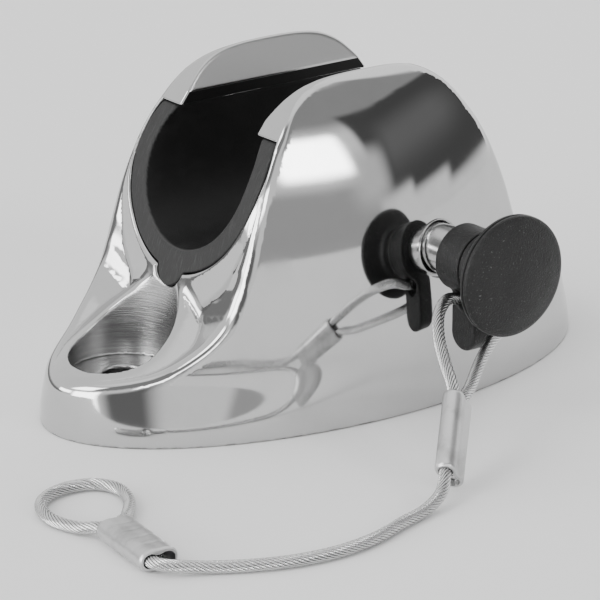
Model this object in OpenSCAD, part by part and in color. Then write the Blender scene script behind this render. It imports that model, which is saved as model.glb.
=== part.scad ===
// Deck pole chock with a removable locking pin on a wire rope lanyard.
// Origin: centre of the underside. +X runs along the pole channel, the pin's knob is on the
// -Y side, +Z is up. Millimetres.

/* [Body] */
// Length of the base along the channel
base_l = 130.8; // [128:1:136]
// Width of the base across the channel
base_w = 67.2; // [66:1:70]
// Height of the crest of the lips above the deck
body_h = 69; // [68:0.5:70]
// Height of the upright edge around the foot
foot_h = 9.5; // [8:0.5:10.5]
// Half width of the body at the crest
crest_y = 15.6; // [15:0.1:17]

/* [Pole channel] */
// Height of the channel's axis
channel_z = 50.2; // [50:0.1:50.6]
// Radius of the seat that holds the liner
seat_r = 21.2; // [20.8:0.1:21.4]
// Radius of the pole's own space inside the liner
pole_r = 16.5; // [16:0.1:17]
// Half width of the mouth between the lips
mouth_y = 13; // [12.5:0.1:13.5]
// Height of the underside of the lips
lip_z = 58.5; // [58.2:0.1:59]
// Height of the top of the lips' upright lands
land_z = 61.3; // [60.8:0.1:61.8]
// Outward lean of the lead-in faces above the lands
lead_in = 0.3; // [0.2:0.05:0.32]
// Radius of the keel under the liner
keel_r = 4.6; // [4:0.1:5]
// Height of the keel's axis
keel_z = 30.6; // [30.2:0.1:31]

/* [Screw holes] */
// Distance between the two deck screws
screw_pitch = 96; // [94:1:98]
// Radius of the counterbores
cbore_r = 11; // [10:0.1:11.2]
// Height of the counterbores' floors
cbore_z = 9.7; // [9:0.1:10.5]
// Radius of the holes for the deck screws
screw_r = 4.25; // [3.3:0.05:4.5]

/* [Locking pin] */
// Place of the pin along the channel
pin_x = 9; // [8:0.5:10]
// Height of the pin's axis
pin_z = 33.2; // [33:0.1:33.6]
// Radius of the pin
pin_r = 5; // [4.5:0.1:5.1]
// Outer end of the full-diameter shank, on the knob side
shank_y = -37.5; // [-38:0.1:-37.3]
// Far end of the pin
tip_y = 36; // [35:0.5:37]
// Radius of the knob's head
head_r = 12.5; // [12:0.1:13]
// Radius of the neck and of the swivel ring
neck_r = 6.9; // [6.7:0.1:7.2]

/* [Lanyard] */
// Diameter of the wire rope
rope_d = 2.5; // [2.4:0.1:2.5]
// Length of the two pressed ferrules
ferrule_l = 18; // [17:0.5:18]

/* [Hidden] */
$fn = 64;
eps = 0.01;

// Outer surface: rounded plan sections that get narrower towards the crest
foot_n = 1.96;
wall_n = 1.7;
wall_sides = 64;
wall_levels = [0, 9.5, 12, 16, 21, 27, 34, 41, 48, 54, 59, 63, 66, 68, 69];
wall_taper_l = 9.5;
crest_l = 46;

// Crown line seen from the side, from the foot's tip to the middle of the crest
crown = [
    [-66, 11.4], [-61, 12.6], [-55, 14], [-50, 15.7], [-45.5, 18.5], [-41.5, 21.8],
    [-38.5, 25.5], [-36.5, 30], [-34.6, 36], [-32.4, 43], [-29.6, 50], [-26.5, 55.5],
    [-23.6, 59.3], [-21, 62.5], [-17.5, 65.6], [-13, 67.7], [-6.5, 68.8], [0, 69]
];
crown_steps = 2;

// Hollow underside with a web under the channel
hollow_l = 62;
hollow_w = 46;
hollow_h = 20;
hollow_corner = 12;
web_t = 4;

// Pin and knob
bore_play = 0.05;
liner_play = 0.5;
mouth_chamfer = 1.1;
ring_w = 7.4;
ring_play = 0.05;
stud_r = 4;
stud_l = 15;
knob_y = shank_y - ring_w - 2 * ring_play;
head_back_y = -51.4;
head_rim_y = -52.2;
head_front_y = -54.4;
head_top_y = -56;
ear_t = 4.8;
ear_bottom_r = ring_w / 2;
ear_drop = 18.8;
eye_z = 25.3;
eye_y = shank_y - ring_play - ring_w / 2;
eye_r = 2.2;

// Spring-loaded ball near the pin's tip, inside the far wall's hole
ball_r = 1.6;
ball_y = 26.5;
pocket_r = ball_r + 0.05;
pocket_bottom = -3.4;
ball_seat = pin_r + bore_play - 0.02 - ball_r;
spring_r = 1.1;
spring_wire = 0.28;
spring_turns = 4;

// Ferrules: flat oval sleeves around two strands
strand_gap = 1.8;
sleeve_r = 2.25;
sleeve_open_r = 1.35;
pin_ferrule_top = [-11.5, -62, 14.2];
pin_ferrule_turn = [0, 124.8, -135];
pin_ferrule_roll = 19.4;
free_ferrule_top = [-85.3, -51.2, 2.3];
free_ferrule_turn = [0, 90, -97];
free_ferrule_roll = 90;

// Route of the wire rope: tail in the pin-end ferrule, up through the ring's eye, back
// through the ferrule, along the deck, through the free-end ferrule and round its eye
rope_route = [
    [-20.4, -71.7, 3.1], [-15.7, -67, 7.7], [-10.4, -61.7, 12.8], [-5.1, -58, 14], [1.5, -53, 16.3],
    [7.1, -49.3, 18], [11.8, -46.8, 19.6], [13.9, -43.8, 22.2], [12.6, -41.5, 24.7], [9, -41.2, 25.3],
    [5, -41.3, 25.9], [1, -43, 26.8], [-3.6, -46.2, 25.6], [-7.2, -50.8, 22.8], [-9.6, -55.6, 19.8],
    [-12.6, -62.3, 15.6], [-17.8, -67.5, 10.5], [-23.1, -72.8, 5.4], [-26.8, -76, 2.8], [-32.5, -78.2, 1.4],
    [-40, -80.3, 1.3], [-48, -82.9, 1.3], [-57, -83.9, 1.3], [-66, -82.6, 1.3], [-74, -79.5, 1.3],
    [-81, -75.6, 1.4], [-86.4, -72.6, 2], [-89.2, -69, 2.3], [-88.2, -60, 2.3], [-87.1, -51, 2.3],
    [-89.8, -45.6, 1.4], [-91.4, -38.6, 1.3], [-88.6, -31.2, 1.3], [-82, -27.7, 1.3], [-75.4, -28.9, 1.3],
    [-72.6, -34, 1.3], [-74.6, -40.6, 1.3], [-79.4, -46.6, 1.4], [-83.5, -51.4, 2.3], [-85.3, -66, 2.3]
];
rope_steps = 2;
rope_sides = 8;

// Point on a smooth curve through the points p, in the stretch that starts at index i
function smooth_point(p, i, t) =
    let (n = len(p) - 1, a = p[max(i - 1, 0)], b = p[i], c = p[min(i + 1, n)], d = p[min(i + 2, n)])
    0.5 * (2 * b + (c - a) * t + (2 * a - 5 * b + 4 * c - d) * t * t + (3 * b - a - 3 * c + d) * t * t * t);

function smooth_curve(p, steps) = concat(
    [for (i = [0 : len(p) - 2]) for (s = [0 : steps - 1]) smooth_point(p, i, s / steps)],
    [p[len(p) - 1]]
);

// Half width and half length of the outer wall at height z
function wall_rise(z) = max(0, min(1, (z - foot_h) / (body_h - foot_h)));
function wall_half_w(z) =
    crest_y + (base_w / 2 - crest_y) * pow(1 - pow(wall_rise(z), 2.2), 0.625);
function wall_half_l(z) = crest_l + (base_l / 2 - crest_l) * pow(1 - wall_rise(z), 0.45);
function wall_power(z) = z <= foot_h ? foot_n : wall_n + (foot_n - wall_n) * exp(-(z - foot_h) / 2);

function signed_power(v, e) = sign(v) * pow(abs(v), e);
function wall_ring(z) = [
    for (i = [0 : wall_sides - 1]) let (a = 360 * (i + 0.5) / wall_sides, e = 2 / wall_power(z))
    [wall_half_l(z) * signed_power(cos(a), e), wall_half_w(z) * signed_power(sin(a), e), z]
];

// Solid skin over stacked rings of points, each ring anticlockwise seen along the stack
module skin(rings) {
    n = len(rings[0]);
    last = len(rings) - 1;
    points = [for (ring = rings) for (p = ring) p];
    sides = [
        for (k = [0 : last - 1]) for (i = [0 : n - 1])
        [k * n + i, (k + 1) * n + i, (k + 1) * n + (i + 1) % n, k * n + (i + 1) % n]
    ];
    ends = [[for (i = [0 : n - 1]) i], [for (i = [n - 1 : -1 : 0]) last * n + i]];
    polyhedron(points, concat(sides, ends), convexity = 6);
}

// Everything under the crown line, as wide as the body
module under_crown() {
    half = smooth_curve(crown, crown_steps);
    far = [for (i = [len(half) - 2 : -1 : 0]) [-half[i][0], half[i][1]]];
    rotate([90, 0, 0])
        linear_extrude(base_w + 2, center = true)
            polygon(concat([[-base_l, -1], [-base_l, crown[0][1]]], half, far,
                           [[base_l, crown[0][1]], [base_l, -1]]));
}

// A cylinder along X through the whole body
module along_x(r, y, z) {
    translate([-base_l, y, z]) rotate([0, 90, 0]) cylinder(r = r, h = 2 * base_l);
}

// A cylinder along Y from y0 to y1 on the pin's axis
module along_pin(r, y0, y1) {
    translate([pin_x, y1, pin_z]) rotate([90, 0, 0]) cylinder(r = r, h = y1 - y0);
}

module below(z) {
    translate([-base_l, -base_w, z - 4 * body_h]) cube([2 * base_l, 2 * base_w, 4 * body_h]);
}

// Space for the liner, its keel, the mouth and the leaning lead-in faces
module channel_space() {
    top = body_h + 1;
    intersection() {
        along_x(seat_r, 0, channel_z);
        below(lip_z);
    }
    along_x(keel_r, 0, keel_z);
    rotate([90, 0, 90])
        linear_extrude(2 * base_l, center = true)
            polygon([
                [-mouth_y, channel_z], [mouth_y, channel_z], [mouth_y, land_z],
                [mouth_y + lead_in * (top - land_z), top], [-mouth_y - lead_in * (top - land_z), top],
                [-mouth_y, land_z]
            ]);
}

module screw_hole() {
    translate([0, 0, -1]) cylinder(r = screw_r, h = cbore_z + 2);
    translate([0, 0, cbore_z]) cylinder(r = cbore_r, h = body_h);
}

module underside_hollow() {
    difference() {
        translate([0, 0, -1])
            linear_extrude(hollow_h + 1)
                offset(hollow_corner)
                    square([hollow_l - 2 * hollow_corner, hollow_w - 2 * hollow_corner], center = true);
        translate([-web_t / 2, -hollow_w / 2, -2]) cube([web_t, hollow_w, hollow_h + 3]);
    }
}

module body() {
    color("lightgray")
        difference() {
            intersection() {
                skin([for (z = wall_levels) wall_ring(z)]);
                under_crown();
            }
            channel_space();
            for (side = [-1, 1]) translate([side * screw_pitch / 2, 0, 0]) screw_hole();
            underside_hollow();
            along_pin(pin_r + bore_play, -base_w, base_w);
        }
}

// Rubber lining of the channel, cut flush with the crown line at both ends
module channel_liner() {
    color([0.12, 0.12, 0.12])
        difference() {
            intersection() {
                union() {
                    intersection() {
                        along_x(seat_r, 0, channel_z);
                        below(lip_z);
                    }
                    along_x(keel_r, 0, keel_z);
                }
                under_crown();
            }
            along_x(pole_r, 0, channel_z);
            translate([-base_l, -pole_r * 0.86, channel_z])
                cube([2 * base_l, 2 * pole_r * 0.86, body_h]);
            along_pin(pin_r + liner_play, -base_w, base_w);
        }
}

// Stainless pin: round-nosed shank, reduced stud for the ring and the knob, ball pocket
module pin_shaft() {
    nose = 1.5;
    color("silver")
        difference() {
            union() {
                along_pin(pin_r, shank_y, tip_y - nose);
                translate([pin_x, tip_y, pin_z])
                    rotate([90, 0, 0]) cylinder(r1 = pin_r - nose, r2 = pin_r, h = nose);
                along_pin(stud_r, shank_y - stud_l, shank_y + eps);
            }
            translate([pin_x, ball_y, pin_z + pocket_bottom])
                cylinder(r = pocket_r, h = 2 * pin_r);
        }
}

module detent_ball() {
    color("gainsboro")
        translate([pin_x, ball_y, pin_z + ball_seat]) sphere(r = ball_r);
}

// Small compression spring under the ball, drawn as stacked wire turns
module detent_spring() {
    bottom = pin_z + pocket_bottom + spring_wire;
    top = pin_z + ball_seat - ball_r - spring_wire;
    color("dimgray")
        for (i = [0 : spring_turns - 1])
            translate([pin_x, ball_y, bottom + i * (top - bottom) / (spring_turns - 1)])
                rotate_extrude() translate([spring_r - spring_wire, 0]) circle(r = spring_wire, $fn = 16);
}

// Moulded mushroom knob, screwed onto the pin's stud
module knob() {
    waist_r = 6.2;
    groove = 0.35;
    rim_mid = (head_rim_y + head_front_y) / 2;
    color([0.13, 0.13, 0.13])
        translate([pin_x, 0, pin_z])
            rotate([90, 0, 0])
                rotate_extrude()
                    polygon([
                        [stud_r, -knob_y], [neck_r, -knob_y], [neck_r, -knob_y + 1.5],
                        [waist_r, -head_back_y - 1.5], [waist_r + 1, -head_back_y],
                        [head_r - 0.6, -head_rim_y], [head_r, -head_rim_y + 0.4],
                        [head_r, -rim_mid - 0.3], [head_r - groove, -rim_mid], [head_r, -rim_mid + 0.3],
                        [head_r, -head_front_y - 0.2], [head_r - 0.8, -head_front_y + 0.3],
                        [head_r - 4, -head_top_y - 0.6], [head_r - 8, -head_top_y - 0.1], [0, -head_top_y],
                        [0, -shank_y + stud_l], [stud_r, -shank_y + stud_l]
                    ]);
}

// Swivel ring on the stud, with the ear that carries the lanyard
module lanyard_ring() {
    ear_z = pin_z - ear_drop + ear_bottom_r;
    color([0.13, 0.13, 0.13])
        difference() {
            union() {
                along_pin(neck_r, eye_y - ring_w / 2, eye_y + ring_w / 2);
                translate([pin_x - ear_t / 2, eye_y - ring_w / 2, ear_z])
                    cube([ear_t, ring_w, pin_z - ear_z]);
                translate([pin_x - ear_t / 2, eye_y, ear_z])
                    rotate([0, 90, 0]) cylinder(r = ear_bottom_r, h = ear_t);
            }
            along_pin(stud_r + bore_play, -base_w, 0);
            translate([pin_x - neck_r, eye_y, eye_z])
                rotate([0, 90, 0]) cylinder(r = eye_r, h = 2 * neck_r);
        }
}

function unit(v) = v / norm(v);
function rope_ring(p, t) =
    let (side = unit(cross(t, [0, 0, 1])), up = cross(side, t))
    [for (i = [0 : rope_sides - 1]) let (a = 360 * (i + 0.5) / rope_sides)
        p + rope_d / 2 * (cos(a) * side + sin(a) * up)];

module lanyard_cable() {
    path = smooth_curve(rope_route, rope_steps);
    last = len(path) - 1;
    color("darkgray")
        skin([for (i = [0 : last]) rope_ring(path[i], unit(path[min(i + 1, last)] - path[max(i - 1, 0)]))]);
}

module flat_oval(half, r) {
    square([2 * half, 2 * r], center = true);
    for (side = [-1, 1]) translate([side * half, 0]) circle(r = r);
}

// Pressed sleeve from the top point along the turned Z axis
module ferrule(top, turn, roll) {
    color("silver")
        translate(top) rotate(turn) rotate([0, 0, roll])
            linear_extrude(ferrule_l)
                difference() {
                    flat_oval(strand_gap, sleeve_r);
                    flat_oval(strand_gap, sleeve_open_r);
                }
}

module ferrule_pin_end() {
    ferrule(pin_ferrule_top, pin_ferrule_turn, pin_ferrule_roll);
}

module ferrule_free_end() {
    ferrule(free_ferrule_top, free_ferrule_turn, free_ferrule_roll);
}

body();
channel_liner();
pin_shaft();
detent_ball();
detent_spring();
knob();
lanyard_ring();
lanyard_cable();
ferrule_pin_end();
ferrule_free_end();
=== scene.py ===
import logging
import math
from dataclasses import dataclass
from enum import Enum
from typing import Callable, Sequence

import bmesh
import bpy
import numpy as np
from mathutils import Matrix, Vector


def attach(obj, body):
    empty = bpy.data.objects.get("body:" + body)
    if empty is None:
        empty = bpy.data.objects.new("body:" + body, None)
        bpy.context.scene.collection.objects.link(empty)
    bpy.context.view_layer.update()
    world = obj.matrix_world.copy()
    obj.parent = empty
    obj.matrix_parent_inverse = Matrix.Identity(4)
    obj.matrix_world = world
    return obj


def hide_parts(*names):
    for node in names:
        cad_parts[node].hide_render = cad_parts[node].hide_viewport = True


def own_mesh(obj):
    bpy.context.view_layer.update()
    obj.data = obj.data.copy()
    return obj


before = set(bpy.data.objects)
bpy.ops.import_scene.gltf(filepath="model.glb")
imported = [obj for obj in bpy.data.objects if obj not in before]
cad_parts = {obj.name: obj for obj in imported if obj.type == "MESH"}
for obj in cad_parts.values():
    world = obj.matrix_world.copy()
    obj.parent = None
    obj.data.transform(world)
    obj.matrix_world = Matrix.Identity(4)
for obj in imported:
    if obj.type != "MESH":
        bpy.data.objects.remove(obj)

logging.basicConfig(level=logging.INFO, format="%(message)s")
log = logging.getLogger("deck_chock")

MM = 0.001
Array = np.ndarray
Mesh = bmesh.types.BMesh
Solid = bpy.types.Object
Material = bpy.types.Material
Socket = bpy.types.NodeSocket
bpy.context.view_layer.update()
Point = tuple[float, float, float]
Field = Callable[[Array], Array]


class Rides(Enum):
    """The four moving bodies of the chock."""

    CHOCK = "chock"
    LANYARD = "lanyard"
    PIN = "pin"
    BALL = "ball"


# ---------------------------------------------------------------- shaping helpers


def soft_max(a: Array, b: Array | float, k: float) -> Array:
    """Larger of two distances with the meeting edge eased.

    Args:
        a, b: signed distances, positive outside.
        k: width of the eased edge in millimetres.

    Returns:
        The combined distance.
    """
    h = np.clip(0.5 + 0.5 * (a - b) / k, 0, 1)
    return b + (a - b) * h + k * h * (1 - h)


def soft_min(a: Array, b: Array, k: float) -> Array:
    """Smaller of two distances with the meeting corner filled."""
    return -soft_max(-a, -b, k)


def slope(field: Field, p: Array, step: float = 0.03) -> Array:
    """Gradient of a distance field.

    Args:
        field: the field.
        p: points, one row each, in millimetres.
        step: length of the probing step.

    Returns:
        One gradient per point.
    """
    return np.stack(
        [
            (field(p + step * e) - field(p - step * e)) / (2 * step)
            for e in np.eye(3)
        ],
        axis=1,
    )


def true_size(field: Field, p: Array) -> Array:
    """The field's value divided by its steepness, so that it measures millimetres."""
    return field(p) / np.maximum(np.linalg.norm(slope(field, p), axis=1), 1e-6)


def catmull(points: Sequence[Point], steps: int) -> Array:
    """Smooth curve through points.

    Args:
        points: the points it passes.
        steps: places worked out in each stretch.

    Returns:
        The curve's places, one row each.
    """
    p = np.array(points, float)
    n = len(p) - 1
    out = []
    for i in range(n):
        a, b, c, d = p[max(i - 1, 0)], p[i], p[min(i + 1, n)], p[min(i + 2, n)]
        for t in np.arange(steps) / steps:
            out.append(
                0.5
                * (
                    2 * b
                    + (c - a) * t
                    + (2 * a - 5 * b + 4 * c - d) * t**2
                    + (3 * b - a - 3 * c + d) * t**3
                )
            )
    return np.array(out + [p[n]])


def evenly(line: Array, gap: float) -> Array:
    """The line again with places about gap apart."""
    along = np.concatenate([[0], np.cumsum(np.linalg.norm(np.diff(line, axis=0), axis=1))])
    at = np.linspace(0, along[-1], int(along[-1] / gap) + 2)
    return np.stack([np.interp(at, along, line[:, k]) for k in range(3)], axis=1)


def unit(v: Array) -> Array:
    """Rows scaled to length one."""
    return v / np.maximum(np.linalg.norm(v, axis=-1, keepdims=True), 1e-12)


# ---------------------------------------------------------------- mesh helpers


def as_object(bm: Mesh, name: str, scale: float = MM) -> Solid:
    """Turns a working mesh into an object at the origin and frees it.

    Args:
        bm: the working mesh.
        name: name of the piece.
        scale: from the mesh's unit to metres.

    Returns:
        The new object, smooth shaded.
    """
    bmesh.ops.scale(bm, vec=(scale,) * 3, verts=bm.verts)
    mesh = bpy.data.meshes.new(name)
    bm.to_mesh(mesh)
    bm.free()
    obj = bpy.data.objects.new(name, mesh)
    bpy.context.collection.objects.link(obj)
    mesh.shade_smooth()
    return obj


def crisp(obj: Solid, degrees: float = 35.0) -> None:
    """Marks edges that fold by more than the given angle as sharp."""
    obj.data.set_sharp_from_angle(angle=math.radians(degrees))


def baked(obj: Solid) -> None:
    """Applies an object's modifiers to its mesh."""
    solid = obj.evaluated_get(bpy.context.evaluated_depsgraph_get())
    done = bpy.data.meshes.new_from_object(solid)
    obj.modifiers.clear()
    obj.data = done


def blank_of(node: str, name: str, voxel: float) -> Solid:
    """Even blank for carving, made from a copy of a CAD node.

    Args:
        node: the CAD node.
        name: name of the new piece.
        voxel: edge length of the even mesh in millimetres.

    Returns:
        The blank, in metres.
    """
    bm = bmesh.new()
    bm.from_mesh(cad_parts[node].data)
    bmesh.ops.remove_doubles(bm, verts=bm.verts, dist=1e-6)
    obj = as_object(bm, name, 1.0)
    even = obj.modifiers.new("even", "REMESH")
    even.mode = "VOXEL"
    even.voxel_size = voxel * MM
    baked(obj)
    return obj


def carve(
    obj: Solid, field: Field, finer: int = 1, fold: float = 12.0, finest: Field | None = None
) -> Array:
    """Moves a blank's points onto a field's surface and gives it the field's normals.

    Args:
        obj: the blank.
        field: signed distance in millimetres.
        finer: times that sharply curved places are divided.
        fold: turn of the surface along an edge, in degrees, above which it is divided.
        finest: below 0 where folds are divided once more.

    Returns:
        The points in millimetres.
    """

    def settled(p: Array, rounds: int) -> Array:
        """Points moved onto the surface."""
        for _ in range(rounds):
            g = slope(field, p)
            move = g * (field(p) / np.maximum((g * g).sum(1), 0.05))[:, None]
            far = np.linalg.norm(move, axis=1, keepdims=True)
            p = p - move * np.minimum(1, 0.6 / np.maximum(far, 1e-9))
        return p

    bm = bmesh.new()
    bm.from_mesh(obj.data)
    bmesh.ops.scale(bm, vec=(1 / MM,) * 3, verts=bm.verts)
    last = finer + (finest is not None and finer > 0)
    for turn in range(last + 1):
        for _ in range(2):
            p = settled(np.array([v.co for v in bm.verts]), 4)
            for v, q in zip(bm.verts, p):
                v.co = q
            bmesh.ops.smooth_vert(
                bm, verts=bm.verts, factor=0.5, use_axis_x=True, use_axis_y=True, use_axis_z=True
            )
        p = settled(np.array([v.co for v in bm.verts]), 4)
        for v, q in zip(bm.verts, p):
            v.co = q
        if turn < last:
            n = unit(slope(field, p))
            near = finest(p) < 0 if turn == finer else np.ones(len(p), bool)
            limit = math.cos(math.radians(fold))
            bm.verts.index_update()
            edges = [
                e
                for e in bm.edges
                if float(n[e.verts[0].index] @ n[e.verts[1].index]) < limit
                and e.calc_length() > 0.22
                and near[e.verts[0].index]
            ]
            bmesh.ops.subdivide_edges(bm, edges=edges, cuts=1, use_grid_fill=True)
            bmesh.ops.triangulate(bm, faces=[f for f in bm.faces if len(f.verts) > 4])
    bmesh.ops.triangulate(bm, faces=bm.faces)
    bm.to_mesh(obj.data)
    bm.free()
    p = np.array([v.co for v in obj.data.vertices])
    obj.data.transform(Matrix.Scale(MM, 4))
    obj.data.shade_smooth()
    obj.data.normals_split_custom_set_from_vertices(unit(slope(field, p, 0.05)).tolist())
    return p


def note(obj: Solid, name: str, values: Array) -> None:
    """Stores one number per point on a piece, for its material."""
    layer = obj.data.attributes.new(name, "FLOAT", "POINT")
    layer.data.foreach_set("value", values.astype(np.float32))


def turned(outline: Sequence[tuple[float, float]], centre: Point, name: str, sides: int = 96) -> Solid:
    """Turns an outline about a line along Y, as on a lathe.

    Args:
        outline: (radius, y) from one end to the other, in millimetres.
        centre: a point on the axis.
        name: name of the piece.
        sides: divisions of the full turn.

    Returns:
        The closed turned piece.
    """
    bm = bmesh.new()
    verts = [bm.verts.new((centre[0] + r, y, centre[2])) for r, y in outline]
    edges = [bm.edges.new(pair) for pair in zip(verts, verts[1:])]
    bmesh.ops.spin(
        bm, geom=verts + edges, cent=centre, axis=(0, 1, 0), dvec=(0, 0, 0),
        angle=math.tau, steps=sides, use_merge=True, use_duplicate=False,
    )
    bmesh.ops.remove_doubles(bm, verts=bm.verts, dist=1e-5)
    bmesh.ops.recalc_face_normals(bm, faces=bm.faces)
    return as_object(bm, name)


def eased(outline: Sequence[tuple[float, float, float]], steps: int = 5) -> list[tuple[float, float]]:
    """Rounds the corners of an outline.

    Args:
        outline: (radius, y, ease), where ease is how far the rounding reaches.
        steps: points in each rounded corner.

    Returns:
        The rounded outline as (radius, y).
    """
    p = np.array(outline, float)
    out = [tuple(p[0, :2])]
    for a, b, c in zip(p, p[1:], p[2:]):
        u, w = a[:2] - b[:2], c[:2] - b[:2]
        reach = min(b[2], np.linalg.norm(u) / 2.01, np.linalg.norm(w) / 2.01)
        if reach <= 0:
            out.append(tuple(b[:2]))
            continue
        s, e = b[:2] + unit(u) * reach, b[:2] + unit(w) * reach
        for t in np.linspace(0, 1, steps):
            out.append(tuple((1 - t) ** 2 * s + 2 * t * (1 - t) * b[:2] + t**2 * e))
    return out + [tuple(p[-1, :2])]


def cut_away(obj: Solid, tool: Solid) -> None:
    """Takes a tool's shape out of a piece and removes the tool."""
    step = obj.modifiers.new("cut", "BOOLEAN")
    step.operation, step.solver, step.object = "DIFFERENCE", "EXACT", tool
    baked(obj)
    bpy.data.objects.remove(tool)


def tube(bm: Mesh, centres: Array, side: Array, up: Array, radius: float, sides: int) -> None:
    """Adds a closed tube with its own UV map: u along it and v round it.

    Args:
        bm: the working mesh, which has a UV layer.
        centres, side, up: middle and two cross directions of each ring.
        radius: of the tube.
        sides: of each ring.
    """
    n = len(centres)
    made = bmesh.ops.create_grid(bm, x_segments=n - 1, y_segments=sides, size=0.5, calc_uvs=True)
    for v in made["verts"]:
        i = round((v.co.x + 0.5) * (n - 1))
        a = (v.co.y + 0.5) * math.tau + math.pi
        v.co = centres[i] + radius * (math.cos(a) * side[i] + math.sin(a) * up[i])
    faces = list({f for v in made["verts"] for f in v.link_faces})
    bmesh.ops.remove_doubles(bm, verts=made["verts"], dist=1e-5)
    rims = list({e for f in faces if f.is_valid for e in f.edges if e.is_boundary})
    bmesh.ops.holes_fill(bm, edges=rims, sides=0)


def frames_along(line: Array) -> tuple[Array, Array, Array]:
    """Directions along and across a line that never twist.

    Args:
        line: places on the line.

    Returns:
        The along, side and up directions at each place.
    """
    along = unit(np.gradient(line, axis=0))
    side = np.zeros_like(line)
    side[0] = unit(np.cross(along[0], (0.0, 0.0, 1.0)))
    for i in range(1, len(line)):
        s = side[i - 1] - (side[i - 1] @ along[i]) * along[i]
        side[i] = s / np.linalg.norm(s)
    return along, side, np.cross(along, side)


# ---------------------------------------------------------------- node helpers


class Graph:
    """A node tree with short ways to add and join nodes."""

    def __init__(self, tree: bpy.types.NodeTree) -> None:
        """Keeps the tree."""
        self.tree = tree

    def add(self, kind: str, ins: dict | None = None, **props: object) -> bpy.types.Node:
        """Adds a node.

        Args:
            kind: Blender's name of the node type without the ShaderNode prefix.
            ins: values or sockets for its inputs, by name or index.
            props: its properties.

        Returns:
            The node.
        """
        node = self.tree.nodes.new(kind if kind.startswith("Node") else "ShaderNode" + kind)
        for key, value in props.items():
            setattr(node, key, value)
        for key, value in (ins or {}).items():
            if isinstance(value, Socket):
                self.tree.links.new(value, node.inputs[key])
            else:
                node.inputs[key].default_value = value
        return node

    def math(self, operation: str, *values: object, clamp: bool = False) -> Socket:
        """Adds a Math node and gives its result."""
        ins = dict(enumerate(values))
        return self.add("Math", ins, operation=operation, use_clamp=clamp).outputs[0]

    def times(self, a: object, b: object) -> Socket:
        """Product of two values."""
        return self.math("MULTIPLY", a, b)

    def plus(self, a: object, b: object) -> Socket:
        """Sum of two values."""
        return self.math("ADD", a, b)

    def effect(self, tree: bpy.types.NodeTree, ins: dict) -> object:
        """Places a shared effect and gives its outputs."""
        return self.add("Group", ins, node_tree=tree).outputs

    def spread(
        self, value: object, low: float, high: float, to_low: float = 0.0, to_high: float = 1.0
    ) -> Socket:
        """Maps a value smoothly from one range to another."""
        return self.add(
            "MapRange",
            {"Value": value, "From Min": low, "From Max": high, "To Min": to_low, "To Max": to_high},
            interpolation_type="SMOOTHSTEP",
        ).outputs[0]

    def blend(self, share: object, a: object, b: object) -> Socket:
        """Mixes two colours by a share."""
        node = self.add("Mix", {0: share, 6: a, 7: b}, data_type="RGBA")
        return node.outputs[2]

    def noise(self, where: object, scale: float, detail: float = 3.0, rough: float = 0.5) -> Socket:
        """Adds a noise pattern and gives its value."""
        ins = {"Vector": where, "Scale": scale, "Detail": detail, "Roughness": rough}
        return self.add("TexNoise", ins).outputs[0]

    def scaled(self, where: object, scale: object) -> Socket:
        """Multiplies a place by a number."""
        return self.add("VectorMath", {0: where, "Scale": scale}, operation="SCALE").outputs[0]

    def mapped(self, where: object, turn: Point, scale: Point) -> Socket:
        """Turns and stretches a place."""
        return self.add("Mapping", {"Vector": where, "Rotation": turn, "Scale": scale}).outputs[0]

    def join(self, source: object, target: object) -> None:
        """Joins an output to an input."""
        self.tree.links.new(source, target)

    def bump(self, height: object, strength: object, distance: float, normal: object = None) -> Socket:
        """Adds a bump and gives its normal."""
        ins = {"Height": height, "Strength": strength, "Distance": distance}
        if normal is not None:
            ins["Normal"] = normal
        return self.add("Bump", ins).outputs[0]


def grey(value: float) -> tuple[float, float, float, float]:
    """Neutral colour of the given linear brightness."""
    return (value, value, value, 1.0)


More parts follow.
